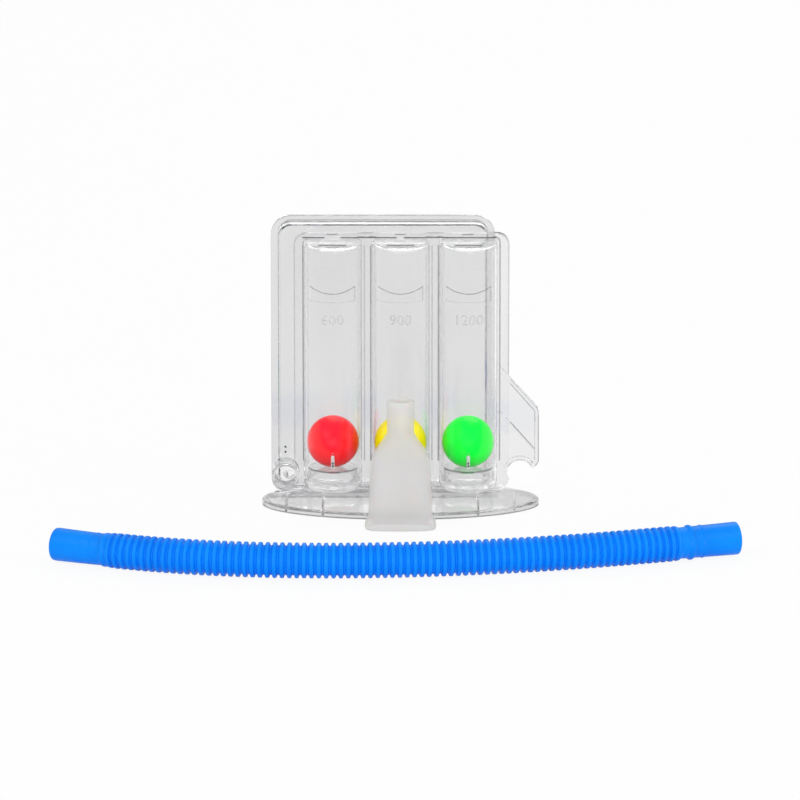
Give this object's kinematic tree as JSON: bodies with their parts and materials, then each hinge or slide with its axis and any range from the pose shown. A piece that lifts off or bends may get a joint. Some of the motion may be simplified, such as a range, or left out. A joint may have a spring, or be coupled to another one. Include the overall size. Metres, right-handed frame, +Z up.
{
  "type": "incentive spirometer",
  "caption": "Clear three-ball breathing exerciser on an oval foot, with a milky mouthpiece and a blue corrugated hose lying apart.",
  "frame": {"origin": "centre of the oval foot's underside, on the table", "axes": "+Z up, -Y towards the user, +X to the user's right"},
  "size_m": [0.3315, 0.182, 0.1425],
  "materials": {
    "clear_foot": "clear polished moulding",
    "clear_housing": "clear polished moulding",
    "clear_seat": "clear polished moulding",
    "red_ball": "bright satin red",
    "yellow_ball": "bright satin yellow",
    "green_ball": "bright satin green",
    "milky_plastic": "milky translucent, satin",
    "blue_hose": "soft satin blue"
  },
  "bodies": {
    "housing": {"base_foot": "clear_foot", "front_shell": "clear_housing", "manifold": "clear_housing", "back_cover": "clear_housing", "seat_left": "clear_seat", "seat_centre": "clear_seat", "seat_right": "clear_seat"},
    "red": {"ball_red": "red_ball"},
    "yellow": {"ball_yellow": "yellow_ball"},
    "green": {"ball_green": "green_ball"},
    "mouth": {"mouthpiece": "milky_plastic"},
    "tube": {"hose": "blue_hose"}
  },
  "joints": [
    {"name": "red_rise", "type": "slide", "parent": "housing", "child": "red", "axis": [0, 0, 1], "range_m": [0, 0.08518]},
    {"name": "yellow_rise", "type": "slide", "parent": "housing", "child": "yellow", "axis": [0, 0, 1], "range_m": [0, 0.08526]},
    {"name": "green_rise", "type": "slide", "parent": "housing", "child": "green", "axis": [0, 0, 1], "range_m": [0, 0.08535]},
    {"name": "mouthpiece_lift", "type": "slide", "parent": "housing", "child": "mouth", "axis": [0, 0, 1], "range_m": [0, 0.08]},
    {"name": "hose_lift", "type": "slide", "parent": "housing", "child": "tube", "axis": [0, 0, 1], "range_m": [0, 0.08]}
  ]
}
